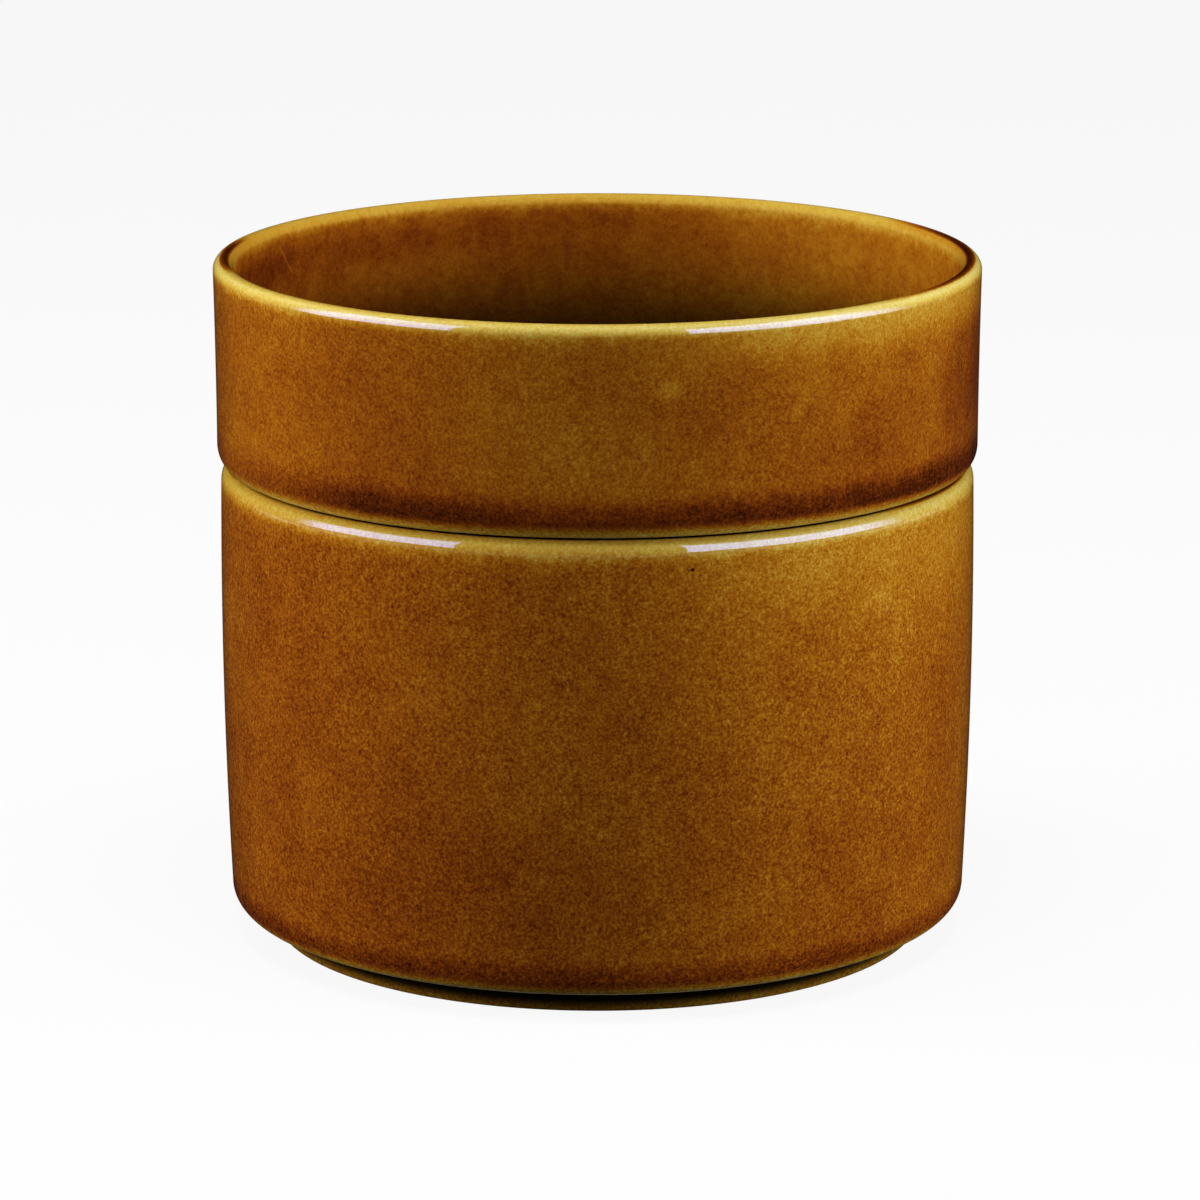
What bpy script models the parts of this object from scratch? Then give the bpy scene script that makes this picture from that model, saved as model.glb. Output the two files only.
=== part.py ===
"""Jar of glazed stoneware that is closed by a bowl.

Two turned pieces, each one solid revolved about the Z axis:

    jar       slightly bellied vessel on a foot ring that is set in under a rounded heel
    bowl_lid  open bowl whose bottom closes the jar, with a ring that drops into its mouth

Metres, +Z up. The jar stands on Z = 0 and both pieces turn about the Z axis.
"""

import math

import bpy

# Both pieces: the wall, and the gap between the jar's rim and the bowl that rests on it
WALL = 0.0034
SEAT_GAP = 0.0003

# Jar
JAR_HEIGHT = 0.07775
JAR_RADIUS = 0.06160
JAR_RIM_DRAWN_IN = 0.00020
JAR_HEEL_DRAWN_IN = 0.00110
JAR_HEEL_ROUND = 0.0035
JAR_FLOOR = 0.0034
JAR_INNER_ROUND = 0.0060
# Where the wall is widest, as a share of the way from the heel to the rim
BELLY_HEIGHT_SHARE = 0.65

# Foot ring under the jar
FOOT_SET_IN = 0.0066
FOOT_HEIGHT = 0.0041
FOOT_TAPER = 0.0005
FOOT_WIDTH = 0.0042
FOOT_ROUND = 0.0008
FOOT_RECESS = 0.0034

# Bowl that closes the jar: it stands a little proud of the jar's rim
BOWL_HEIGHT = 0.03355
BOWL_OVERHANG = 0.00060
BOWL_FLARE = 0.00028
BOWL_CORNER_HEIGHT = 0.0033
BOWL_CORNER_REACH = 0.0025
BOWL_FLOOR = 0.0034
BOWL_INNER_ROUND = 0.0060

# Ring under the bowl, which drops into the jar's mouth
RING_CLEARANCE = 0.0009
RING_DEPTH = 0.0042
RING_TAPER = 0.0003
RING_WIDTH = 0.0042
RING_ROUND = 0.0010
RING_RECESS = 0.0036

# A rounded edge takes at most this share of the ring's width, depth or recess
ROUND_LIMIT_SHARE = 0.4

# Facets
TURN_STEPS = 72
WALL_STEPS = 5
RIM_STEPS = 8
CORNER_STEPS = 6
INNER_STEPS = 5
SMALL_ROUND_STEPS = 3
# Two points of a profile nearer than this are one point
WELD_DISTANCE = 0.00001

# Glaze: colours, roughness and metallic value
JAR_AMBER = (0.305, 0.114, 0.008, 1.0)
BOWL_AMBER = (0.270, 0.096, 0.007, 1.0)
GLAZE_ROUGHNESS = 0.12
GLAZE_METALLIC = 0.0


def clear_scene():
    for old in list(bpy.data.objects):
        bpy.data.objects.remove(old, do_unlink=True)


def glaze(name, colour):
    """A glossy, coloured ceramic glaze."""
    material = bpy.data.materials.new(name)
    material.use_nodes = True
    shader = material.node_tree.nodes["Principled BSDF"]
    shader.inputs["Base Color"].default_value = colour
    shader.inputs["Roughness"].default_value = GLAZE_ROUGHNESS
    shader.inputs["Metallic"].default_value = GLAZE_METALLIC
    return material


def arc(centre, reach, start, end, steps):
    """Points (radius, height) along an upright ellipse, from one angle to another in degrees.

    0 degrees points away from the axis and 90 degrees up. reach is the half width and half height.
    """
    points = []
    for step in range(steps + 1):
        angle = math.radians(start + (end - start) * step / steps)
        radius = centre[0] + reach[0] * math.cos(angle)
        height = centre[1] + reach[1] * math.sin(angle)
        points.append((radius, height))
    return points


def rounding(centre, size, start, end, steps):
    """Points along a circular arc."""
    return arc(centre, (size, size), start, end, steps)


def bow_through(low, middle, high):
    """A wall's radius by height: the parabola through three points (radius, height)."""

    def radius_at(height):
        radius = 0.0
        for point, one, other in ((low, middle, high), (middle, low, high), (high, low, middle)):
            share = (height - one[1]) * (height - other[1])
            share /= (point[1] - one[1]) * (point[1] - other[1])
            radius += point[0] * share
        return radius

    return radius_at


def up_the_wall(radius_at, bottom, top, inset=0.0):
    """Points between two heights of a wall, moved inward by inset, without the two ends."""
    points = []
    for step in range(1, WALL_STEPS):
        height = bottom + (top - bottom) * step / WALL_STEPS
        points.append((radius_at(height) - inset, height))
    return points


def inside(radius_at, floor, rim, inner_round):
    """A vessel's inside: from the axis along the floor, round its corner and up to the rim."""
    corner = floor + inner_round
    centre = (radius_at(corner) - WALL - inner_round, corner)
    points = [(0.0, floor)]
    points += rounding(centre, inner_round, -90, 0, INNER_STEPS)
    points += up_the_wall(radius_at, corner, rim, WALL)
    return points


def over_the_rim(radius_at, rim):
    """The rim: a half circle as wide as the wall, from the inside to the outside."""
    half = WALL / 2
    return rounding((radius_at(rim) - half, rim), half, 180, 0, RIM_STEPS)


def ring_below(shoulder, radius, taper, depth, width, edge, recess):
    """A ring under a vessel, from its shoulder down, round the bottom and in to the axis.

    radius is the outside at the top of the ring, and taper is how much narrower its bottom is.
    """
    bottom = shoulder - depth
    ceiling = bottom + recess
    outside = radius - taper
    inner = outside - width
    edge = min(edge, width * ROUND_LIMIT_SHARE, depth * ROUND_LIMIT_SHARE, recess * ROUND_LIMIT_SHARE)
    points = rounding((radius + edge, shoulder - edge), edge, 90, 180, SMALL_ROUND_STEPS)
    points += rounding((outside - edge, bottom + edge), edge, 0, -90, SMALL_ROUND_STEPS)
    points += rounding((inner + edge, bottom + edge), edge, -90, -180, SMALL_ROUND_STEPS)
    points += rounding((inner - edge, ceiling - edge), edge, 0, 90, SMALL_ROUND_STEPS)
    points.append((0.0, ceiling))
    return points


def turned(name, profile, material):
    """One solid from a profile of points (radius, height) that starts and ends on the Z axis.

    The profile runs along the inside floor, up the inside, over the rim and down the outside.
    """
    corners = []
    for radius, height in profile:
        if not corners or math.dist((radius, height), corners[-1]) > WELD_DISTANCE:
            corners.append((radius, height))
    points = [(radius, 0.0, height) for radius, height in corners]
    edges = [(index, index + 1) for index in range(len(points) - 1)]
    mesh = bpy.data.meshes.new(name)
    mesh.from_pydata(points, edges, [])
    mesh.materials.append(material)
    piece = bpy.data.objects.new(name, mesh)
    bpy.context.scene.collection.objects.link(piece)

    screw = piece.modifiers.new("turn", "SCREW")
    screw.axis = "Z"
    screw.angle = math.tau
    screw.steps = TURN_STEPS
    screw.render_steps = TURN_STEPS
    screw.use_merge_vertices = True
    screw.merge_threshold = WELD_DISTANCE
    screw.use_smooth_shade = True
    return piece


def make_jar():
    """The vessel: floor, bellied wall, rounded rim, rounded heel and a foot ring under it."""
    rim = JAR_HEIGHT - WALL / 2
    heel = FOOT_HEIGHT + JAR_HEEL_ROUND
    belly = heel + (rim - heel) * BELLY_HEIGHT_SHARE
    heel_radius = JAR_RADIUS - JAR_HEEL_DRAWN_IN
    rim_radius = JAR_RADIUS - JAR_RIM_DRAWN_IN
    outer = bow_through((heel_radius, heel), (JAR_RADIUS, belly), (rim_radius, rim))

    profile = inside(outer, FOOT_HEIGHT + JAR_FLOOR, rim, JAR_INNER_ROUND)
    profile += over_the_rim(outer, rim)
    profile += reversed(up_the_wall(outer, heel, rim))
    profile += rounding((heel_radius - JAR_HEEL_ROUND, heel), JAR_HEEL_ROUND, 0, -90, CORNER_STEPS)
    profile += ring_below(FOOT_HEIGHT, heel_radius - FOOT_SET_IN, FOOT_TAPER, FOOT_HEIGHT, FOOT_WIDTH,
                          FOOT_ROUND, FOOT_RECESS)
    return turned("jar", profile, glaze("jar_glaze", JAR_AMBER))


def make_bowl_lid():
    """The bowl: its shoulder rests on the jar's rim, and its ring drops into the jar's mouth."""
    shoulder = JAR_HEIGHT + SEAT_GAP
    rim = shoulder + BOWL_HEIGHT - WALL / 2
    corner = shoulder + BOWL_CORNER_HEIGHT
    jar_rim_radius = JAR_RADIUS - JAR_RIM_DRAWN_IN
    bowl_radius = jar_rim_radius + BOWL_OVERHANG
    ring_radius = jar_rim_radius - WALL - RING_CLEARANCE

    def outer(height):
        rise_share = (height - corner) / (rim - corner)
        return bowl_radius + BOWL_FLARE * rise_share * rise_share

    profile = inside(outer, shoulder + BOWL_FLOOR, rim, BOWL_INNER_ROUND)
    profile += over_the_rim(outer, rim)
    profile += reversed(up_the_wall(outer, corner, rim))
    corner_centre = (bowl_radius - BOWL_CORNER_REACH, corner)
    profile += arc(corner_centre, (BOWL_CORNER_REACH, BOWL_CORNER_HEIGHT), 0, -90, CORNER_STEPS)
    profile += ring_below(shoulder, ring_radius, RING_TAPER, RING_DEPTH, RING_WIDTH, RING_ROUND, RING_RECESS)
    return turned("bowl_lid", profile, glaze("bowl_glaze", BOWL_AMBER))


def main():
    clear_scene()
    make_jar()
    make_bowl_lid()


main()
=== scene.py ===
# %% [markdown]
# A jar of glazed stoneware, closed by a bowl.
#
# The real thing is two turned pieces. The jar is a vessel with an almost straight wall on a small
# foot. The bowl that closes it is open on top, and a ring under it drops into the jar's mouth. A
# packed model already holds both pieces at their true size. Here they get a finer surface, an amber
# glaze that breaks yellow where it runs thin, a studio and a camera. The first cell loads that model.

# %% Load the fixed frame
import math

import bpy
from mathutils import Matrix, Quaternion, Vector


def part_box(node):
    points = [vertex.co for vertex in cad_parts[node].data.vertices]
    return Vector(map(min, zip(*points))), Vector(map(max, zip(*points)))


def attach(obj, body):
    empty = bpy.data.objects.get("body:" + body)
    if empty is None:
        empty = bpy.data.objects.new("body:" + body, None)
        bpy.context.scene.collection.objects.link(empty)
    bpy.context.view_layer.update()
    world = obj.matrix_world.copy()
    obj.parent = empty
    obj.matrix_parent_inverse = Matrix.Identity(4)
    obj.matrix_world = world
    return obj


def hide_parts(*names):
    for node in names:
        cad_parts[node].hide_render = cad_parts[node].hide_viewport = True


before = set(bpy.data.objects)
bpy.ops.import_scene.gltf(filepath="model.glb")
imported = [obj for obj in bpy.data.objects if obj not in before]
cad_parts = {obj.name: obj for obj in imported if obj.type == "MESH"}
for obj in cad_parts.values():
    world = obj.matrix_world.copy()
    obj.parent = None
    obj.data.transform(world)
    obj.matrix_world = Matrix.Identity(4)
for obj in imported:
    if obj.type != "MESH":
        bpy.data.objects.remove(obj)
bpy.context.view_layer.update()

MM = 0.001

# %% [markdown]
# Sizes.
#
# The overall sizes are read from the loaded pieces, so that they can't drift from them. What a box
# can't tell, such as the thickness of the wall or the round of the heel, is written once here. All
# lengths are metres.

# %% Sizes of the two pieces
jar_low, jar_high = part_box("jar")
bowl_low, bowl_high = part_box("bowl_lid")

WALL = 0.0034
SEAT_GAP = 0.0003

BOWL_TOP = bowl_high.z
BOWL_OVERHANG = 0.00060
BOWL_FLARE = 0.00028
BOWL_CORNER_HEIGHT = 0.0033
BOWL_CORNER_REACH = 0.0025
BOWL_FLOOR = 0.0034
BOWL_INNER_ROUND = 0.0060

JAR_TOP = jar_high.z
JAR_SHOULDER = 0.0026
JAR_RIM_DRAWN_IN = 0.00020
JAR_RADIUS = bowl_high.x - BOWL_FLARE - BOWL_OVERHANG + JAR_RIM_DRAWN_IN
JAR_HEEL_DRAWN_IN = 0.00110
JAR_HEEL_ROUND = 0.0035
JAR_FLOOR = 0.0034
JAR_INNER_ROUND = 0.0060
BELLY_HEIGHT_SHARE = 0.65

FOOT_SET_IN = 0.0066
FOOT_HEIGHT = 0.0041
FOOT_TAPER = 0.0005
FOOT_WIDTH = 0.0042
FOOT_ROUND = 0.0008
FOOT_RECESS = 0.0034

RING_CLEARANCE = 0.0009
RING_TAPER = 0.0003
RING_WIDTH = 0.0042
RING_ROUND = 0.0010
RING_RECESS = 0.0036

print("the jar is", round((JAR_TOP - jar_low.z) / MM, 2), "mm high")
print("the bowl runs from", round(bowl_low.z / MM, 2), "to", round(BOWL_TOP / MM, 2), "mm")

# %% [markdown]
# Profiles.
#
# A potter shapes such a piece by turning it against a profile, and the same thing works here: draw
# half of the section once, then turn it about the axis. A subdivided cylinder would reach the same
# form, but its rim and heel would have to be tuned by eye. A profile made of arcs and one gentle
# parabola keeps each radius true.
#
# Each stretch of the profile is a list of points (radius, height), and it is sampled finely, because
# the smooth highlight on the rim shows every facet.

# %% Stretches of a profile
ARC_STEP = 0.00022
ARC_STEPS_AT_LEAST = 4
WALL_STEP = 0.0015
LEVEL_STEP = 0.003


def arc(centre, reach, start, end):
    """Points along an upright ellipse, between two angles in degrees. 0 points outward and 90 up.

    reach is the half width and the half height.
    """
    length = math.radians(abs(end - start)) * max(reach)
    steps = max(ARC_STEPS_AT_LEAST, math.ceil(length / ARC_STEP))
    points = []
    for step in range(steps + 1):
        angle = math.radians(start + (end - start) * step / steps)
        radius = centre[0] + reach[0] * math.cos(angle)
        height = centre[1] + reach[1] * math.sin(angle)
        points.append((radius, height))
    return points


def rounding(centre, size, start, end):
    """Points along a circular arc."""
    return arc(centre, (size, size), start, end)


def bow_through(low, middle, high):
    """A wall's radius by height: the parabola through three points (radius, height)."""

    def radius_at(height):
        radius = 0.0
        for point, one, other in ((low, middle, high), (middle, low, high), (high, low, middle)):
            share = (height - one[1]) * (height - other[1])
            share /= (point[1] - one[1]) * (point[1] - other[1])
            radius += point[0] * share
        return radius

    return radius_at


def between(radius_at, start, end, inset=0.0):
    """Points of a wall between two heights, moved inward by inset, without the two ends."""
    steps = math.ceil(abs(end - start) / WALL_STEP)
    heights = [start + (end - start) * step / steps for step in range(1, steps)]
    return [(radius_at(height) - inset, height) for height in heights]


def flat(start, end, height, longest=LEVEL_STEP):
    """Points of a level stretch between two radii, without the two ends."""
    steps = max(1, math.ceil(abs(end - start) / longest))
    return [(start + (end - start) * step / steps, height) for step in range(1, steps)]


print("an arc is sampled every", ARC_STEP / MM, "mm and a wall every", WALL_STEP / MM, "mm")

# %% [markdown]
# Two vessels from one recipe.
#
# Both pieces run the same way: along the inside floor, round its corner, up the wall, over the rim,
# down the outside and round the lower corner, then over a ring to the axis again. The bowl's rim is a
# plain half round. The jar's rim has a taller outer shoulder, which catches the lamps a little lower.
# So one function draws both, and it notes where along the line the crown of the rim, the lower edge
# and the bare clay lie. The glaze needs these places later.

# %% Draw a vessel's profile
RING_FACE_STEPS = 6


def ring_below(shoulder, radius, taper, depth, width, edge, recess):
    """A ring under a vessel. Returns its points and the stretch of them that stands on something.

    radius is the outside at the top of the ring, and taper is how much narrower its bottom is.
    """
    bottom = shoulder - depth
    ceiling = bottom + recess
    outside = radius - taper
    inner = outside - width
    face = flat(outside - edge, inner + edge, bottom, width / RING_FACE_STEPS)
    points = rounding((radius + edge, shoulder - edge), edge, 90, 180)
    points += rounding((outside - edge, bottom + edge), edge, 0, -90)
    first = len(points) - 1
    points += face
    last = first + len(face) + 1
    points += rounding((inner + edge, bottom + edge), edge, -90, -180)
    points += rounding((inner - edge, ceiling - edge), edge, 0, 90)
    points += flat(inner - edge, 0.0, ceiling)
    points.append((0.0, ceiling))
    return points, (first, last)


def vessel_profile(outer, floor, rim, shoulder, inner_round, corner, ring):
    """The whole profile, with the places along it of the crown, the lower edge and the bare clay.

    rim is the height where the inner round of the rim starts, and shoulder is how tall its outer
    round is. corner holds the points of the lower corner and the height where it starts.
    """
    inner_corner = floor + inner_round
    inner_centre = (outer(inner_corner) - WALL - inner_round, inner_corner)
    points = [(0.0, floor)]
    points += flat(0.0, inner_centre[0], floor)
    points += rounding(inner_centre, inner_round, -90, 0)
    points += between(outer, inner_corner, rim, WALL)
    half = WALL / 2
    middle = outer(rim) - half
    points += rounding((middle, rim), half, 180, 90)
    crown = len(points) - 1
    wall_top = rim + half - shoulder
    reach = (half + outer(wall_top) - outer(rim), shoulder)
    points += arc((middle, wall_top), reach, 90, 0)[1:]
    corner_points, corner_top = corner
    points += between(outer, wall_top, corner_top)
    points += corner_points
    edge = len(points) - 1
    ring_points, bare = ring
    points += flat(points[-1][0], ring_points[0][0], points[-1][1])
    bare = (bare[0] + len(points), bare[1] + len(points))
    points += ring_points
    return {"points": points, "crown": crown, "edge": edge, "bare": bare}


def jar_profile():
    rim = JAR_TOP - WALL / 2
    heel = FOOT_HEIGHT + JAR_HEEL_ROUND
    belly = heel + (rim - heel) * BELLY_HEIGHT_SHARE
    heel_radius = JAR_RADIUS - JAR_HEEL_DRAWN_IN
    rim_radius = JAR_RADIUS - JAR_RIM_DRAWN_IN
    outer = bow_through((heel_radius, heel), (JAR_RADIUS, belly), (rim_radius, rim))
    corner = rounding((heel_radius - JAR_HEEL_ROUND, heel), JAR_HEEL_ROUND, 0, -90)
    ring = ring_below(FOOT_HEIGHT, heel_radius - FOOT_SET_IN, FOOT_TAPER, FOOT_HEIGHT, FOOT_WIDTH,
                      FOOT_ROUND, FOOT_RECESS)
    return vessel_profile(outer, FOOT_HEIGHT + JAR_FLOOR, rim, JAR_SHOULDER, JAR_INNER_ROUND,
                          (corner, heel), ring)


def bowl_profile():
    shoulder = JAR_TOP + SEAT_GAP
    rim = BOWL_TOP - WALL / 2
    corner_top = shoulder + BOWL_CORNER_HEIGHT
    jar_rim_radius = JAR_RADIUS - JAR_RIM_DRAWN_IN
    bowl_radius = jar_rim_radius + BOWL_OVERHANG
    ring_radius = jar_rim_radius - WALL - RING_CLEARANCE

    def outer(height):
        rise_share = (height - corner_top) / (rim - corner_top)
        return bowl_radius + BOWL_FLARE * rise_share * rise_share

    corner_centre = (bowl_radius - BOWL_CORNER_REACH, corner_top)
    corner = arc(corner_centre, (BOWL_CORNER_REACH, BOWL_CORNER_HEIGHT), 0, -90)
    ring = ring_below(shoulder, ring_radius, RING_TAPER, shoulder - bowl_low.z, RING_WIDTH,
                      RING_ROUND, RING_RECESS)
    return vessel_profile(outer, shoulder + BOWL_FLOOR, rim, WALL / 2, BOWL_INNER_ROUND,
                          (corner, corner_top), ring)


jar_line = jar_profile()
bowl_line = bowl_profile()
print("points of the jar's profile:", len(jar_line["points"]))
print("points of the bowl's profile:", len(bowl_line["points"]))

# %% [markdown]
# Turning.
#
# The Screw modifier would turn a profile too. Here the mesh is written ring by ring instead, because
# each point also carries what a glazer sees: how far it lies from the rim's crown, how far above the
# lower edge, whether it is inside and whether it is wiped bare. A mesh stores such numbers as
# attributes, and a material reads them by name. They stay with the surface when the bowl is lifted.

# %% Turn a profile and mark it for the glaze
TURN_STEPS = 288
BARE_FADE_MM = 0.35


def marks_along(line):
    """For each point of a profile, its distances in millimetres along the surface and its flags."""
    points = line["points"]
    along = [0.0]
    for start, end in zip(points, points[1:]):
        along.append(along[-1] + math.dist(start, end) / MM)
    crown = along[line["crown"]]
    edge = along[line["edge"]]
    bare_start = along[line["bare"][0]]
    bare_end = along[line["bare"][1]]
    marks = {"from_rim": [], "above_edge": [], "inside": [], "bare": []}
    for place in along:
        depth_in_bare = min(place - bare_start, bare_end - place)
        marks["from_rim"].append(abs(place - crown))
        marks["above_edge"].append(edge - place)
        marks["inside"].append(1.0 if place < crown else 0.0)
        marks["bare"].append(min(1.0, max(0.0, 0.5 + depth_in_bare / BARE_FADE_MM)))
    return marks


def turned(name, line):
    """One closed mesh from a profile that starts and ends on the axis."""
    points = line["points"]
    marks = marks_along(line)
    vertices = [(0.0, 0.0, points[0][1])]
    ring_of = [0]
    faces = []
    for index, (radius, height) in enumerate(points[1:-1], start=1):
        for step in range(TURN_STEPS):
            angle = math.tau * step / TURN_STEPS
            vertices.append((radius * math.cos(angle), radius * math.sin(angle), height))
            ring_of.append(index)
    vertices.append((0.0, 0.0, points[-1][1]))
    ring_of.append(len(points) - 1)
    last = len(vertices) - 1
    rings = len(points) - 2
    for step in range(TURN_STEPS):
        after = (step + 1) % TURN_STEPS
        faces.append((0, 1 + step, 1 + after))
        for ring in range(rings - 1):
            here = 1 + ring * TURN_STEPS
            there = here + TURN_STEPS
            faces.append((here + step, there + step, there + after, here + after))
        bottom = 1 + (rings - 1) * TURN_STEPS
        faces.append((bottom + step, last, bottom + after))
    mesh = bpy.data.meshes.new(name)
    mesh.from_pydata(vertices, [], faces)
    for mark, values in marks.items():
        layer = mesh.attributes.new(mark, "FLOAT", "POINT")
        layer.data.foreach_set("value", [values[ring] for ring in ring_of])
    mesh.shade_smooth()
    piece = bpy.data.objects.new(name, mesh)
    bpy.context.scene.collection.objects.link(piece)
    return piece


glazed_jar = turned("glazed_jar", jar_line)
glazed_bowl = turned("glazed_bowl", bowl_line)
print("faces of the jar:", len(glazed_jar.data.polygons))
print("faces of the bowl:", len(glazed_bowl.data.polygons))

# %% [markdown]
# Who carries what.
#
# The jar stands still and the bowl is lifted off, so each fine piece rides on its own body. Each
# stands for the plain solid of the same form, which is then hidden.

# %% Fit the fine pieces to the frame
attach(glazed_jar, "jar")
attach(glazed_bowl, "lid")
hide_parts("jar")
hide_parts("bowl_lid")
print(glazed_jar.name, "stands still, and", glazed_bowl.name, "is lifted with the lid")

# %% [markdown]
# Shader maths that reads like maths.
#
# A glaze recipe is mostly sums of masks, and wiring Math nodes by hand hides the recipe. A small
# class wraps a socket, so that mask * 0.3 adds the node by itself, and 1 - mask does too.

# %% A socket that does arithmetic


class Wire:
    """The output of a node. Arithmetic with it adds a Math node to its tree."""

    def __init__(self, tree, socket):
        self.tree = tree
        self.socket = socket

    def math(self, operation, first, second):
        return self.tree.add("ShaderNodeMath", {"operation": operation}, {0: first, 1: second})

    def __add__(self, other):
        return self.math("ADD", self, other)

    def __radd__(self, other):
        return self.math("ADD", other, self)

    def __sub__(self, other):
        return self.math("SUBTRACT", self, other)

    def __rsub__(self, other):
        return self.math("SUBTRACT", other, self)

    def __mul__(self, other):
        return self.math("MULTIPLY", self, other)

    def __rmul__(self, other):
        return self.math("MULTIPLY", other, self)


print("a wire adds, subtracts and multiplies")

# %% [markdown]
# Every other node.
#
# All nodes come from one method, add, which takes a type, its settings and what goes into its
# sockets. The other methods only give the settings that a glaze needs often. Colours never pass
# through a Math node, which would turn them grey: they go through a Mix node.

# %% A tree that adds nodes


class NodeTree:
    """A node tree with one method for any node."""

    def __init__(self, owner):
        owner.use_nodes = True
        self.nodes = owner.node_tree.nodes
        self.links = owner.node_tree.links
        self.nodes.clear()

    def add(self, kind, settings=None, sockets=None, output=0):
        """Adds a node: its settings first, then its sockets by name or number. Returns one output."""
        node = self.nodes.new(kind)
        for setting, value in (settings or {}).items():
            if setting == "stops":
                self.set_stops(node.color_ramp.elements, value)
            else:
                setattr(node, setting, value)
        for socket, value in (sockets or {}).items():
            if isinstance(value, Wire):
                self.links.new(value.socket, node.inputs[socket])
            else:
                node.inputs[socket].default_value = value
        return Wire(self, node.outputs[output]) if node.outputs else node

    def set_stops(self, elements, stops):
        """Gives a ramp its stops, each a place from 0 to 1 and a colour."""
        while len(elements) < len(stops):
            elements.new(1.0)
        for element, (place, colour) in zip(elements, stops):
            element.position = place
            element.color = colour

    def attribute(self, name):
        return self.add("ShaderNodeAttribute", {"attribute_name": name}, output="Fac")

    def ease(self, value, start, end, low=0.0, high=1.0):
        """A smooth step: low before start, high after end."""
        limits = {"Value": value, "From Min": start, "From Max": end, "To Min": low, "To Max": high}
        return self.add("ShaderNodeMapRange", {"interpolation_type": "SMOOTHSTEP"}, limits)

    def stretch(self, value, rise, fall):
        """1 between two smooth steps, and 0 before the first and after the second."""
        return self.ease(value, *rise) * (1.0 - self.ease(value, *fall))

    def follow(self, value, course):
        """A number that follows another one along a course of points (value, number)."""
        start = course[0][0]
        length = course[-1][0] - start
        stops = [((at - start) / length, (number, number, number, 1.0)) for at, number in course]
        share = (value - start) * (1.0 / length)
        return self.add("ShaderNodeValToRGB", {"stops": stops}, {"Fac": share})

    def least(self, first, second):
        return self.add("ShaderNodeMath", {"operation": "MINIMUM"}, {0: first, 1: second})

    def vector(self, operation, first, second=(0.0, 0.0, 0.0), output=0):
        sockets = {0: first, 1: second}
        return self.add("ShaderNodeVectorMath", {"operation": operation}, sockets, output)

    def noise(self, place, per_mm, detail, roughness):
        """Noise about zero, from -0.5 to 0.5, with a number of waves to a millimetre."""
        sockets = {"Vector": place, "Scale": per_mm, "Detail": detail, "Roughness": roughness}
        return self.add("ShaderNodeTexNoise", {"noise_dimensions": "3D"}, sockets) - 0.5

    def blend_colour(self, share, first, second):
        sockets = {0: share, 6: first, 7: second}
        return self.add("ShaderNodeMix", {"data_type": "RGBA"}, sockets, output=2)


print("a tree's methods:", [name for name in vars(NodeTree) if not name.startswith("_")])

# %% [markdown]
# Places on a turned pot.
#
# Most of what a glaze does follows the profile, and the mesh already carries that. A few things sit
# at one side only, such as a dab where the glaze ran thin. A round pot has no corners to measure
# from, so such a place is given by its azimuth and its height. Azimuth 0 is the front, 90 the right
# and 180 the back. Painting a picture for these would do too, but a handful of soft spots needs no
# picture and stays sharp at any size.

# %% Find a place on the pot
SPOT_DEPTH_MM = 2.5


def towards(azimuth):
    """The level direction at an azimuth in degrees."""
    turn = math.radians(azimuth)
    return Vector((math.sin(turn), -math.cos(turn), 0.0))


def near(tree, heading, azimuth, core, reach):
    """1 within core degrees of an azimuth, and 0 beyond reach degrees."""
    facing = tree.vector("DOT_PRODUCT", heading, towards(azimuth), "Value")
    return tree.ease(facing, math.cos(math.radians(reach)), math.cos(math.radians(core)))


def by_side(tree, heading, sides):
    """The changes at some sides of the pot, added up. A side is its azimuth, core, reach and change."""
    total = 0.0
    for azimuth, core, reach, change in sides:
        total = near(tree, heading, azimuth, core, reach) * change + total
    return total


def spot(tree, millimetres, radius, azimuth, height, half_length, half_width, lean):
    """A soft oval on the wall, all in millimetres. lean turns its length from level, in degrees."""
    out = towards(azimuth)
    across = towards(azimuth + 90.0)
    up = Vector((0.0, 0.0, 1.0))
    tilt = math.radians(lean)
    along = across * math.cos(tilt) + up * math.sin(tilt)
    beside = up * math.cos(tilt) - across * math.sin(tilt)
    away = tree.vector("SUBTRACT", millimetres, out * radius + up * height)
    squares = 0.0
    for axis, half in ((along, half_length), (beside, half_width), (out, SPOT_DEPTH_MM)):
        share = tree.vector("DOT_PRODUCT", away, axis / half, "Value")
        squares = squares + share * share
    return 1.0 - tree.ease(squares, 0.0, 1.0)


print("azimuth 90 points along", [round(part, 2) for part in towards(90.0)])

# %% [markdown]
# The glaze.
#
# The colour of a transparent amber glaze is its thickness. Where it is pulled thin over a rim it is
# straw yellow, on a wall it is amber, and where it gathers at a corner it is nearly black-brown. So
# the recipe first works out one number, the thickness, and then looks the colour up in a ramp.
# Painting the bands one by one would need masks that never quite meet.
#
# The thickness is near 0 where the glaze is thinnest and about 0.5 on a wall. Each stop of the ramp
# is the colour of a glaze that thick on a pale clay. The colours are written as 0 to 255 codes, as a
# picture shows them, and turned into the linear light that a shader takes.

# %% Colours of the glaze by its thickness


def colour(red, green, blue):
    """A colour from its 0 to 255 codes, as linear light: the curve of a screen, undone."""
    linear = []
    for code in (red, green, blue):
        share = code / 255
        linear.append(share / 12.92 if share <= 0.04045 else ((share + 0.055) / 1.055) ** 2.4)
    return (*linear, 1.0)


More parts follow.
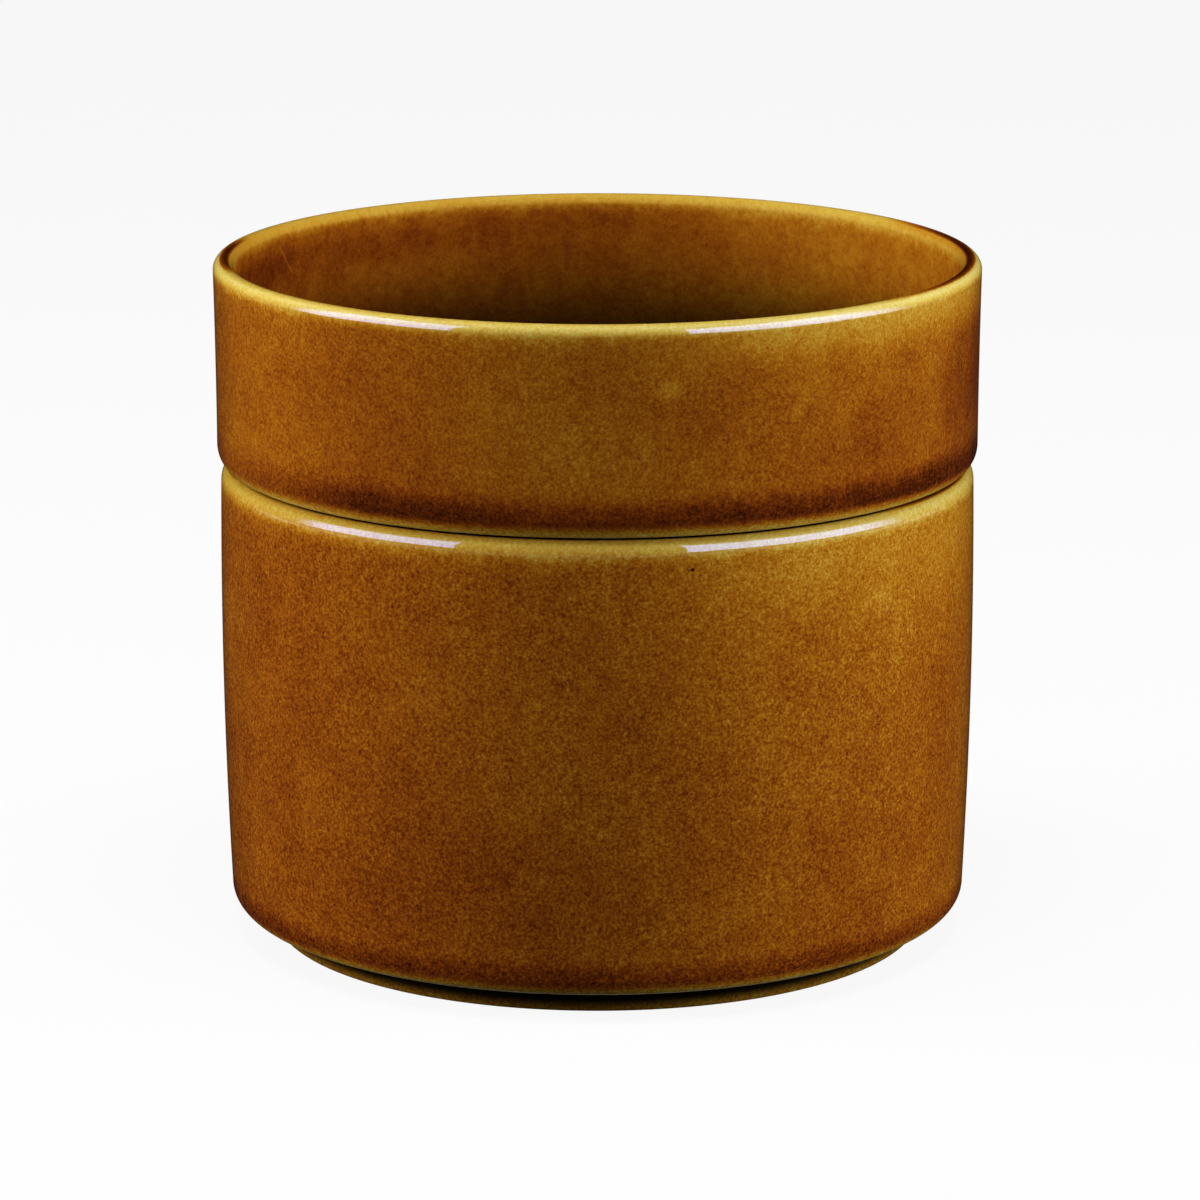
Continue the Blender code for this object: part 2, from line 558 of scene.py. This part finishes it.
GLAZE_STOPS = [
    (0.00, colour(220, 204, 120)),
    (0.12, colour(206, 176, 72)),
    (0.25, colour(195, 145, 43)),
    (0.38, colour(177, 114, 23)),
    (0.50, colour(157, 89, 17)),
    (0.62, colour(136, 68, 13)),
    (0.75, colour(110, 48, 10)),
    (0.88, colour(80, 32, 7)),
    (1.00, colour(50, 19, 4)),
]
# Near black, blended over the glaze as painted shade in the notch and deep inside
PAINTED_SHADE_BROWN = colour(14, 9, 2)
BARE_CLAY = colour(188, 164, 128)

for thickness, amber in GLAZE_STOPS:
    print("thickness", thickness, "is", [round(part, 3) for part in amber[:3]])

# %% [markdown]
# Over the rim.
#
# In the kiln the glaze is pulled away from every sharp round. On the rim's outer shoulder it is
# thinnest, over the crown it keeps a little more, and about five millimetres down it has its full
# body again. The course below says how much of the body is left, by the distance from the crown:
# negative inside the vessel, positive outside. Noise shifts the border of the thin band, but not the
# shoulder itself, which stays an even line. The right side of both pieces was dipped thinner, so
# there the thin glaze reaches further down. At the far left and right of each rim the crown, and a
# little of the inner lip, are painted dark as thicker glaze: this is painted shade.

# %% Thin glaze over a rim
RIM_COURSE = [
    (-5.2, 1.00),
    (-3.8, 0.92),
    (-2.9, 0.66),
    (-2.1, 0.34),
    (-0.9, 0.27),
    (0.0, 0.24),
    (0.5, 0.18),
    (1.25, 0.00),
    (1.8, 0.12),
    (2.3, 0.28),
    (2.7, 0.46),
    (3.1, 0.67),
    (3.6, 0.84),
    (4.4, 0.95),
    (5.6, 1.00),
]
# Sides of the pot, each with its azimuth, core and reach in degrees
THIN_SIDE = (50.0, 12.0, 52.0)
# The second holds the two ends of the rim, whose crown gets painted shade
SHADED_RIM_ENDS = ((86.0, 12.0, 42.0), (-90.0, 3.0, 17.0))
# Millimetres from the crown: where noise starts to count, where the thin side does, the inner lip
NOISE_RISE = (1.6, 3.8)
THIN_SIDE_FROM = 2.4
LIP_FALL = (1.2, 2.6)
# What the thin side keeps of the rim's own coat
THIN_SIDE_RIM_SHARE = 0.4
# The painted shade on the crown at the rim's ends: its middle, the fall by the square of the
# distance from there, how much it is
RIM_END_SHADE_AT = -0.15
RIM_END_SHADE_FALL = (0.04, 0.95)
RIM_END_SHADE_MORE = 0.66


def rim_cover(tree, thin_side, from_rim, inside, waver, amounts):
    """The share of its body that the glaze keeps near the rim."""
    off_the_round = tree.ease(from_rim, *NOISE_RISE)
    border = (from_rim + waver * off_the_round) * (1.0 / amounts["band"])
    cover = tree.follow(border * (1.0 - inside * 2.0), RIM_COURSE)
    fading = tree.ease(from_rim + waver, THIN_SIDE_FROM, amounts["thin_reach"])
    pulled = thin_side * (1.0 - fading) * (1.0 - inside)
    return tree.least(cover, 1.0 - pulled * (1.0 - amounts["thin_cover"]))


def rim_end_shade(tree, heading, from_rim, inside, lip_shade_sides):
    """Painted shade, drawn as thicker glaze: dark on the crown at the rim's two ends, a little on the
    inner lip.
    """
    sides = 0.0
    for azimuth, core, reach in SHADED_RIM_ENDS:
        sides = near(tree, heading, azimuth, core, reach) + sides
    off = from_rim * (1.0 - inside * 2.0) - RIM_END_SHADE_AT
    lip = (1.0 - tree.ease(from_rim, *LIP_FALL)) * inside
    on_crown = (1.0 - tree.ease(off * off, *RIM_END_SHADE_FALL)) * RIM_END_SHADE_MORE
    return sides * on_crown + lip * by_side(tree, heading, lip_shade_sides)


print("the rim's thin band is", round(RIM_COURSE[-1][0] - RIM_COURSE[0][0], 1), "mm wide")

# %% [markdown]
# At the lower edge.
#
# What runs down the wall gathers in a dark band just above the lower corner. More of it ran down the
# bowl, so the bowl's band is much darker than the jar's. The corner itself is a round again, so there
# the glaze is thin and olive gold; on the bowl this pale line is also a painted reflection of the
# jar's bright rim just below it. The foot has half a coat. The notch between the foot and the heel
# lies in the heel's shadow, and it is also painted nearly black: painted shade.

# %% Glaze at the lower edge
EDGE_COURSE = [
    (-7.5, 0.54),
    (-1.6, 0.54),
    # The thin lower corner; on the bowl it is partly a painted reflection of the jar's rim
    (0.0, 0.16),
    (1.0, 0.17),
    (1.8, 0.34),
    (2.6, 0.68),
    (3.4, 0.94),
    (4.0, 1.00),
]
# Millimetres above the lower edge
LIFT_RISE = (0.0, 2.5)
NOTCH_RISE = (-8.4, -4.6)
NOTCH_FALL = (-1.4, -0.4)
POOL_RISE = (2.2, 4.0)
POOL_FALL_FROM = 4.6


def raised(tree, above_edge, lift):
    """The distance above the edge, with all that follows it moved up the wall by lift."""
    return above_edge - tree.ease(above_edge, *LIFT_RISE) * lift


def edge_cover(tree, above_edge, inside):
    """The share of its body that the glaze keeps near the lower edge and on the ring below it."""
    return tree.follow(above_edge, EDGE_COURSE) * (1.0 - inside) + inside


def notch(tree, above_edge, inside):
    """Painted shade in the notch between the heel and the foot, from 0 to 1."""
    return tree.stretch(above_edge, NOTCH_RISE, NOTCH_FALL) * (1.0 - inside)


def pool(tree, above_edge, inside, waver, top):
    """The band above the lower edge where the glaze gathers, from 0 to 1."""
    start = tree.ease(above_edge, *POOL_RISE)
    end = tree.ease(above_edge + waver, POOL_FALL_FROM, top)
    return start * (1.0 - end) * (1.0 - inside)


print("the glaze keeps", min(share for _, share in EDGE_COURSE), "of its body on the lower corner")

# %% [markdown]
# Inside.
#
# The inside is glazed by pouring, so it has its own thickness. It changes toward the floor and from
# side to side, and a curtain of thicker glaze hangs below a part of the bowl's rim. Deep inside, the
# colour is blended toward near black, most of all in a ring round the floor: painted shade, where
# little light gets in. Toward the middle of the floor the painted shade clears again.

# %% Glaze inside
# Millimetres from the crown
INNER_FROM = 8.0
CURTAIN_RISE = (4.2, 6.6)
CURTAIN_FALL = (7.0, 13.0)
# Millimetres beyond the depth of the floor, and how much the ring of painted shade clears there
CLEARING = (10.0, 50.0)
CLEARING_SHARE = 0.6
INNER_MORE = 0.04


def sump(tree, from_rim, inside, depth, most):
    """Painted shade deep inside: darker down the inner wall and darkest round the floor, from 0 to 1."""
    start = tree.ease(from_rim, INNER_FROM, depth)
    end = tree.ease(from_rim, depth + CLEARING[0], depth + CLEARING[1], 0.0, CLEARING_SHARE)
    return start * (1.0 - end) * inside * most


def inner_coat(tree, heading, from_rim, inside, amounts):
    """How much thicker the glaze is inside than outside."""
    gathered = tree.ease(from_rim, INNER_FROM, amounts["inner_depth"])
    curtain = tree.stretch(from_rim, CURTAIN_RISE, CURTAIN_FALL)
    coat = gathered * amounts["inner_more"] + by_side(tree, heading, amounts["inner_sides"]) + INNER_MORE
    return (coat + curtain * by_side(tree, heading, amounts["curtain_sides"])) * inside


print("the inner coat changes from", INNER_FROM, "mm below the rim")

# %% [markdown]
# Gloss.
#
# Glaze is glass, and glass mirrors its room. The floor here is white, and a plain gloss would lay a
# pale veil over the whole wall and wash the amber out. On the real jar the room was dark and only the
# rims caught the two lamps. So two coats are mixed by a mask: a full gloss on the rims, which draws
# the bright lines, and a quiet one on the walls and wherever a rim is seen at a slant. On the jar
# only the lower part of the rim is bright, because the bowl shades the rest. The quiet coat still
# loses light at a slant, as any glass does, and gives only a part of it back, so the jar keeps its
# darker edges. Inside, where the walls light each other, it loses little.

# %% Two coats of gloss
GLAZE_ROUGHNESS = 0.035
CLAY_ROUGHNESS = 0.75
GLAZE_IOR = 1.5
QUIET_SHEEN = colour(16, 14, 12)
# Shares of the full gloss on the walls and deep inside, and of the loss at a slant inside
WALL_GLOSS_SHARE = 0.004
INSIDE_GLOSS_SHARE = 0.12
INSIDE_SLANT_SHARE = 0.25
# Millimetres from the crown
GLOSS_RISE_LENGTH = 0.2
GLOSS_FALL = (2.3, 2.6)
INSIDE_GLOSS_RISE = (5.0, 9.0)
# Millimetres above the lower edge
HEEL_RISE = (-0.8, 0.0)
HEEL_FALL = (1.2, 2.1)
# The mirrored share at which a rim counts as seen at a slant
SLANT_RISE = (0.07, 0.14)


def gloss_share(tree, from_rim, above_edge, inside, amounts):
    """Where the full gloss shows: on the outer half of the rim, on the heel and a little deep inside."""
    outside = 1.0 - inside
    over = from_rim * (1.0 / amounts["band"])
    slant = tree.add("ShaderNodeFresnel", None, {"IOR": GLAZE_IOR})
    facing = 1.0 - tree.ease(slant, *SLANT_RISE)
    start = amounts["gloss_from"]
    rim = tree.stretch(over, (start, start + GLOSS_RISE_LENGTH), GLOSS_FALL) * outside * facing
    heel = tree.stretch(above_edge, HEEL_RISE, HEEL_FALL) * outside
    deep = tree.ease(from_rim, *INSIDE_GLOSS_RISE) * inside
    share = rim * (1.0 - WALL_GLOSS_SHARE) + heel * amounts["heel_shine"] + deep * INSIDE_GLOSS_SHARE
    return share + WALL_GLOSS_SHARE


def two_coats(tree, share, base, roughness, bump, sheltered):
    """The full gloss where share is 1 and the quiet coat where it is 0."""
    glossy = tree.add("ShaderNodeBsdfPrincipled", None, {
        "Base Color": base,
        "Roughness": roughness,
        "IOR": GLAZE_IOR,
        "Normal": bump,
    })
    depth = tree.add("ShaderNodeBsdfPrincipled", None, {
        "Base Color": base,
        "Roughness": roughness,
        "Specular IOR Level": 0.0,
        "Normal": bump,
    })
    sheen_look = {"Color": QUIET_SHEEN, "Roughness": GLAZE_ROUGHNESS}
    sheen = tree.add("ShaderNodeBsdfGlossy", None, sheen_look)
    slant = tree.add("ShaderNodeFresnel", None, {"IOR": GLAZE_IOR})
    slant = slant * (1.0 - sheltered * (1.0 - INSIDE_SLANT_SHARE))
    quiet = tree.add("ShaderNodeMixShader", None, {0: slant, 1: depth, 2: sheen})
    return tree.add("ShaderNodeMixShader", None, {0: 1.0 - share, 1: glossy, 2: quiet})


print("the walls keep", WALL_GLOSS_SHARE, "of the full gloss")

# %% [markdown]
# One recipe, two pots.
#
# The two pieces were dipped in the same bucket but not alike. The jar's coat is strongly mottled,
# with red-brown and gold grains half a millimetre wide. The bowl's is finer in grain, with slow
# clouds and a dark band at the bottom. So the recipe is one function, and each piece has its own
# amounts, most of them thicknesses of glaze.
#
# A side that got more or less is its azimuth, core and reach in degrees, and how much thicker the
# glaze is there. A spot, such as a dab or a streak, is its azimuth, height, half length, half width
# and lean, in degrees and millimetres, and how much thicker the glaze is there.

# %% Amounts of glaze on the jar and on the bowl
JAR_GLAZE = {
    # The wall's radius in millimetres, for the spots, and what moves the noises
    "radius": 61.5,
    "seed": 11.0,
    # Thickness on the wall and on the rim, and how much more there is at the bottom
    "body": 0.50,
    "rim": 0.15,
    "run": 0.05,
    "sides": [(-60.0, 18.0, 62.0, 0.065)],
    # How many times as wide as its course the rim's thin band is
    "band": 1.27,
    # Where on the rim the full gloss starts, and the heel's share of it
    "gloss_from": 1.2,
    "heel_shine": 1.0,
    # The thin side: the share of the body that is left, and how many millimetres down it reaches
    "thin_cover": 0.67,
    "thin_reach": 30.0,
    # How much each noise adds
    "clouds": 0.22,
    "drift": 0.10,
    "mottle": 0.26,
    "grain": 0.76,
    "pins": 0.10,
    # The dark band above the lower edge: how far it is moved up, how thick it is and where it ends
    "edge_lift": 0.8,
    "pool": 0.18,
    "pool_top": 7.8,
    "pool_sides": [],
    # Inside: how far down the floor is, how much more glaze is there and how black the painted shade is
    "inner_depth": 66.0,
    "inner_more": 0.10,
    "sump": 0.6,
    "inner_sides": [],
    "curtain_sides": [],
    "lip_shade_sides": [],
    "inner_painted_highlights": [],
    "spots": [
        (46.2, 64.2, 5.0, 3.2, 0.0, -0.07),
        (30.5, 62.5, 12.0, 1.8, -32.0, 0.06),
        (13.8, 73.1, 0.42, 0.34, 0.0, 0.80),
    ],
}
BOWL_GLAZE = {
    "radius": 62.1,
    "seed": 47.0,
    "body": 0.475,
    "rim": 0.05,
    "run": 0.02,
    "sides": [
        (-62.0, 15.0, 50.0, 0.05),
        (-34.0, 4.0, 18.0, 0.04),
        (66.0, 8.0, 42.0, 0.055),
        # The narrow side at 88 degrees darkens the bowl's right edge: painted shade
        (88.0, 4.0, 18.0, 0.09),
    ],
    "band": 1.0,
    "gloss_from": 0.2,
    "heel_shine": 0.80,
    "thin_cover": 0.5,
    "thin_reach": 11.0,
    "clouds": 0.32,
    "drift": 0.14,
    "mottle": 0.20,
    "grain": 0.58,
    "pins": 0.07,
    "edge_lift": 0.0,
    "pool": 0.30,
    "pool_top": 9.2,
    "pool_sides": [(-85.0, 12.0, 50.0, -0.55), (44.0, 16.0, 46.0, 0.12)],
    "inner_depth": 25.0,
    "inner_more": -0.10,
    "sump": 0.86,
    "inner_sides": [(-125.0, 20.0, 70.0, 0.09), (105.0, 20.0, 60.0, -0.08)],
    "curtain_sides": [(-122.0, 18.0, 60.0, 0.09)],
    # The inner lip at the rim's two ends gets painted shade
    "lip_shade_sides": [(95.0, 14.0, 36.0, 0.15), (-92.0, 4.0, 22.0, 0.08)],
    # The streak inside is a painted highlight, drawn as thinner glaze
    "inner_painted_highlights": [
        (-117.8, 105.8, 4.6, 0.4, 52.0, -0.17),
    ],
    "spots": [
        (10.2, 101.4, 3.0, 2.4, 0.0, -0.12),
        (30.3, 97.8, 3.8, 1.5, 61.0, -0.10),
        (4.5, 92.4, 3.0, 2.2, 0.0, 0.06),
        (37.0, 89.4, 0.45, 0.4, 0.0, 0.20),
        (48.0, 91.0, 14.0, 9.0, 0.0, 0.07),
        (72.0, 94.0, 18.0, 13.0, 0.0, 0.14),
    ],
}

print("spots on the jar:", len(JAR_GLAZE["spots"]), "and on the bowl:", len(BOWL_GLAZE["spots"]))

# %% [markdown]
# Clouds, grains and pins.
#
# A fired glaze is uneven at every scale, from clouds three centimetres wide to grains of half a
# millimetre. One noise with many layers would tie them together. Separate ones can each be set, and
# the finest is calmer inside, where the glaze is smooth. Streaks are a noise drawn out along the
# wall, and pins are the peaks of a fine one.

# %% Noises of the glaze
# Each noise: waves to a millimetre, detail and roughness
CLOUDS = (0.035, 3.0, 0.5)
PATCHES = (0.11, 2.0, 0.5)
DRIFT = (0.3, 2.0, 0.5)
MOTTLE = (0.9, 1.0, 0.6)
GRAIN = (2.2, 1.0, 0.7)
PINS = (1.7, 1.0, 0.5)
STREAKS = (0.9, 2.0, 0.6)
WAVES = (0.16, 2.0, 0.5)
PINS_RISE = (0.08, 0.24)
CALMER_INSIDE = 0.6
DRAWN_OUT = (1.0, 1.0, 0.3)


def glaze_noises(tree, place, inside):
    """The noises of the glaze, by name."""
    fibres = tree.vector("MULTIPLY", place, DRAWN_OUT)
    return {
        "clouds": tree.noise(place, *CLOUDS),
        "patches": tree.noise(place, *PATCHES),
        "drift": tree.noise(place, *DRIFT),
        "mottle": tree.noise(place, *MOTTLE),
        "grain": tree.noise(place, *GRAIN) * (1.0 - inside * CALMER_INSIDE),
        "pins": tree.ease(tree.noise(place, *PINS), *PINS_RISE),
        "streaks": tree.noise(fibres, *STREAKS),
    }


print("a grain is", round(1 / GRAIN[0], 2), "mm wide and a cloud", round(1 / CLOUDS[0]), "mm")

# %% [markdown]
# Mixing.
#
# The thickness is built up in the order in which a pot is glazed: the body of the coat first, then
# what the rim and the lower edge leave of it, then the speckle, and last what gathers, with the
# painted shade at the rim's ends. The ramp turns it into a colour, the painted shade of the notch and
# of the deep inside and the bare clay lie over that, and a very low bump keeps the lamps' reflections
# from looking ruled.

# %% Mix the glaze of one piece
PATCHES_MORE = 0.14
DRIFT_MORE_INSIDE = 0.6
RUN_RISE = (5.0, 70.0)
# How many millimetres the noises shift the border of the thin band, and the top of the dark one
PATCHES_WAVER = 2.2
STREAKS_WAVER = 0.5
MOTTLE_WAVER = 1.2
POOL_WAVER = 2.0
# The share of the speckle that is left where the glaze is thinnest
THIN_SPECKLE_SHARE = 0.4
# Millimetres from the crown where the inside starts to be sheltered
SHELTER_RISE = (1.6, 3.2)
BUMP_STRENGTH = 0.1
BUMP_DISTANCE = 0.0004
BUMP_GRAIN = 0.02


def glaze_body(tree, millimetres, heading, from_rim, inside, noises, amounts):
    """The thickness of the coat away from the rim and from the lower edge."""
    body = amounts["body"] + noises["clouds"] * amounts["clouds"] + noises["patches"] * PATCHES_MORE
    body = body + noises["drift"] * (inside * DRIFT_MORE_INSIDE + 1.0) * amounts["drift"]
    body = body + tree.ease(from_rim, *RUN_RISE) * amounts["run"]
    body = body + by_side(tree, heading, amounts["sides"]) * (1.0 - inside)
    body = body + inner_coat(tree, heading, from_rim, inside, amounts)
    radius = amounts["radius"]
    for spots, wall in ((amounts["spots"], radius), (amounts["inner_painted_highlights"], radius - WALL / MM)):
        for *place, change in spots:
            body = body + spot(tree, millimetres, wall, *place) * change
    return body


def amber_glaze(name, amounts):
    """The glaze of one piece, from its amounts."""
    material = bpy.data.materials.new(name)
    tree = NodeTree(material)
    metres = tree.add("ShaderNodeTexCoord", output="Object")
    millimetres = tree.vector("MULTIPLY", metres, (1 / MM, 1 / MM, 1 / MM))
    heading = tree.vector("NORMALIZE", tree.vector("MULTIPLY", metres, (1.0, 1.0, 0.0)))
    seed = amounts["seed"]
    place = tree.vector("ADD", millimetres, (seed, 2 * seed, 3 * seed))
    from_rim = tree.attribute("from_rim")
    above_edge = tree.attribute("above_edge")
    inside = tree.attribute("inside")
    bare = tree.attribute("bare")

    noises = glaze_noises(tree, place, inside)
    patches, streaks = noises["patches"], noises["streaks"]
    mottle, grain, pins = noises["mottle"], noises["grain"], noises["pins"]
    body = glaze_body(tree, millimetres, heading, from_rim, inside, noises, amounts)

    thin_side = near(tree, heading, *THIN_SIDE)
    waver = patches * PATCHES_WAVER + streaks * STREAKS_WAVER + mottle * MOTTLE_WAVER
    cover = rim_cover(tree, thin_side, from_rim, inside, waver, amounts)
    over_rim = (1.0 - thin_side * (1.0 - THIN_SIDE_RIM_SHARE)) * amounts["rim"]
    above = raised(tree, above_edge, amounts["edge_lift"])
    thickness = body * cover * edge_cover(tree, above, inside) + (1.0 - cover) * over_rim
    speckle = mottle * amounts["mottle"] + grain * amounts["grain"] + pins * amounts["pins"]
    thickness = thickness + speckle * (cover * (1.0 - THIN_SPECKLE_SHARE) + THIN_SPECKLE_SHARE)
    gathered = pool(tree, above, inside, streaks * POOL_WAVER, amounts["pool_top"]) * amounts["pool"]
    thickness = thickness + gathered * (1.0 + by_side(tree, heading, amounts["pool_sides"]))
    # Painted shade: the crown at the rim's two ends, and the inner lip there, are darkened as thicker
    # glaze
    thickness = thickness + rim_end_shade(tree, heading, from_rim, inside, amounts["lip_shade_sides"])

    glaze = tree.add("ShaderNodeValToRGB", {"stops": GLAZE_STOPS}, {"Fac": thickness})
    # Painted shade: the notch above the foot and the deep inside are blended toward near black
    notch_shade = notch(tree, above_edge, inside)
    dark = notch_shade + sump(tree, from_rim, inside, amounts["inner_depth"], amounts["sump"])
    glaze = tree.blend_colour(dark, glaze, PAINTED_SHADE_BROWN)
    base = tree.blend_colour(bare, glaze, BARE_CLAY)
    roughness = tree.ease(bare, 0.0, 1.0, 0.0, CLAY_ROUGHNESS) + GLAZE_ROUGHNESS
    height = tree.noise(place, *WAVES) + grain * BUMP_GRAIN
    relief = {"Strength": BUMP_STRENGTH, "Distance": BUMP_DISTANCE, "Height": height}
    bump = tree.add("ShaderNodeBump", None, relief)
    share = gloss_share(tree, from_rim, above_edge, inside, amounts)
    sheltered = tree.ease(from_rim, *SHELTER_RISE) * inside
    shader = two_coats(tree, share, base, roughness, bump, sheltered)
    tree.add("ShaderNodeOutputMaterial", None, {"Surface": shader})
    return material


glazed_jar.data.materials.append(amber_glaze("jar_glaze", JAR_GLAZE))
glazed_bowl.data.materials.append(amber_glaze("bowl_glaze", BOWL_GLAZE))
print("nodes in the jar's glaze:", len(glazed_jar.data.materials[0].node_tree.nodes))

# %% [markdown]
# The floor.
#
# A pale tabletop that runs out of sight, so that no horizon shows. It is white because the material
# adds its own light to what the camera and the reflections see, not because strong lamps shine on it.
# A share of the real, lit floor stays in the mix, and that share holds the soft shadow under the jar.
# To the light that bounces it is a dark tabletop, because the foot and the notch above it are dark on
# the real jar.

# %% Lay the floor
FLOOR_RADIUS = 9.0
FLOOR_CORNERS = 96
FLOOR_LIT_SHARE = 0.09
FLOOR_COLOUR = (0.75, 0.75, 0.75, 1.0)
FLOOR_BOUNCE_COLOUR = (0.05, 0.05, 0.05, 1.0)
WHITE = (1.0, 1.0, 1.0, 1.0)


def pale_floor():
    bpy.ops.mesh.primitive_circle_add(vertices=FLOOR_CORNERS, radius=FLOOR_RADIUS, fill_type="NGON")
    floor = bpy.context.object
    floor.name = "floor"
    material = bpy.data.materials.new("pale_floor")
    tree = NodeTree(material)
    rays = tree.add("ShaderNodeLightPath", output="Is Camera Ray")
    path = rays.socket.node.outputs
    seen = rays + Wire(tree, path["Is Glossy Ray"]) + Wire(tree, path["Is Transmission Ray"])
    share = tree.ease(seen, 0.0, 1.0, 0.0, 1.0 - FLOOR_LIT_SHARE)
    bounced = Wire(tree, path["Is Diffuse Ray"])
    top = tree.blend_colour(bounced, FLOOR_COLOUR, FLOOR_BOUNCE_COLOUR)
    lit = tree.add("ShaderNodeBsdfDiffuse", None, {"Color": top})
    white = tree.add("ShaderNodeEmission", None, {"Color": WHITE, "Strength": 1.0})
    mixed = tree.add("ShaderNodeMixShader", None, {0: share, 1: lit, 2: white})
    tree.add("ShaderNodeOutputMaterial", None, {"Surface": mixed})
    floor.data.materials.append(material)


pale_floor()
print("the floor reaches", FLOOR_RADIUS, "m")

# %% [markdown]
# The light.
#
# Glossy ware is lit twice over. What shows in the glaze is the reflection of the lamps themselves:
# two large soft boxes, left and right, which draw the two bright lines on each rim. They get dimmer
# toward their outer ends, so that a line runs out softly there. What colours the glaze is the light
# that sinks into it: two soft lamps from the sides, so that the walls are brighter there than in the
# middle, and one high over the front. The two kinds are set apart here, so that the lines can be
# bright while the glaze keeps its depth.

# %% Hang the lamps
LAMP_TARGET = Vector((0.0, 0.0, 0.07))
COOL_LIGHT = (0.40, 0.52, 1.0)
PLAIN_LIGHT = (1.0, 1.0, 1.0)
GLOW_DISTANCE = 0.90
LINE_DISTANCE = 0.75
LINE_HEIGHT = 0.575


def area_lamp(name, size, power, tint):
    """A rectangular lamp, not yet placed. size is its width and height."""
    lamp = bpy.data.lights.new(name, "AREA")
    lamp.shape = "RECTANGLE"
    lamp.size, lamp.size_y = size
    lamp.energy = power
    lamp.color = tint
    box = bpy.data.objects.new(name, lamp)
    box.rotation_mode = "QUATERNION"
    box.visible_camera = False
    bpy.context.scene.collection.objects.link(box)
    return box


def glow(name, azimuth, elevation, size, power):
    """A lamp whose light sinks into the glaze. It faces the jar and leaves no reflection."""
    box = area_lamp(name, size, power, PLAIN_LIGHT)
    rise = math.radians(elevation)
    away = towards(azimuth) * math.cos(rise) + Vector((0.0, 0.0, math.sin(rise)))
    box.location = LAMP_TARGET + away * GLOW_DISTANCE
    box.rotation_quaternion = away.to_track_quat("Z", "Y")
    box.visible_glossy = False


def bright_line(name, azimuth, size, roll, power, fade):
    """A lamp that only shows as a reflection. It stands upright, and roll leans it in its own plane.

    fade is the two places across its width, from 0 to 1, between which it goes from dark to bright.
    """
    box = area_lamp(name, size, power, COOL_LIGHT)
    tree = NodeTree(box.data)
    place = tree.add("ShaderNodeNewGeometry", output="Parametric")
    across = tree.add("ShaderNodeSeparateXYZ", None, {"Vector": place})
    light = tree.add("ShaderNodeEmission", None, {"Strength": tree.ease(across, *fade)})
    tree.add("ShaderNodeOutputLight", None, {"Surface": light})
    away = towards(azimuth)
    box.location = LAMP_TARGET + away * LINE_DISTANCE + Vector((0.0, 0.0, LINE_HEIGHT))
    upright = away.to_track_quat("Z", "Y")
    box.rotation_quaternion = upright @ Quaternion((0.0, 0.0, 1.0), math.radians(roll))
    box.visible_diffuse = False


bright_line("left_line", azimuth=-76.5, size=(0.92, 0.99), roll=8.0, power=37.5, fade=(0.06, 0.32))
bright_line("right_line", azimuth=70.0, size=(1.36, 0.99), roll=-6.0, power=58.0, fade=(0.92, 0.60))
glow("left_glow", azimuth=-85.0, elevation=11.0, size=(0.50, 0.35), power=8.7)
glow("right_glow", azimuth=79.0, elevation=8.0, size=(0.60, 0.30), power=7.8)
glow("top_glow", azimuth=0.0, elevation=75.0, size=(0.50, 0.40), power=6.2)

# %% [markdown]
# The air of the studio.
#
# No studio is quite black. A faint, even light from all round lifts the deepest shadows, such as the
# seam and the notch above the foot. The view transform is the plain one, so that a colour comes out
# about as it is written.

# %% Fill the shadows
AIR_STRENGTH = 0.08

world = bpy.data.worlds.new("studio")
bpy.context.scene.world = world
studio = NodeTree(world)
air = studio.add("ShaderNodeBackground", None, {"Color": WHITE, "Strength": AIR_STRENGTH})
studio.add("ShaderNodeOutputWorld", None, {"Surface": air})
bpy.context.scene.view_settings.view_transform = "Standard"
print("the air's strength is", AIR_STRENGTH)

# %% [markdown]
# The camera.
#
# The photograph looks down on the jar a little, from most of a metre away through a long lens. The
# rims' ellipses give the angle: the flatter they are, the lower the camera.

# %% Set up the camera
CAMERA_DISTANCE = 0.950
CAMERA_ELEVATION = 13.473
CAMERA_TARGET = Vector((0.00042, 0.0, 0.05403))
LENS_MM = 173.29
SENSOR_MM = 36.0

camera_data = bpy.data.cameras.new("camera")
camera_data.lens = LENS_MM
camera_data.sensor_width = SENSOR_MM
camera = bpy.data.objects.new("camera", camera_data)
tilt = math.radians(CAMERA_ELEVATION)
camera.location = CAMERA_TARGET + Vector((0.0, -math.cos(tilt), math.sin(tilt))) * CAMERA_DISTANCE
camera.rotation_euler = (math.radians(90.0) - tilt, 0.0, 0.0)
bpy.context.scene.collection.objects.link(camera)
bpy.context.scene.camera = camera
print("the camera stands at", [round(part, 3) for part in camera.location])

# %% [markdown]
# The fine pieces take their sizes from the boxes of the plain ones, read at the start. The
# fine pieces must fill the same box as the plain ones.
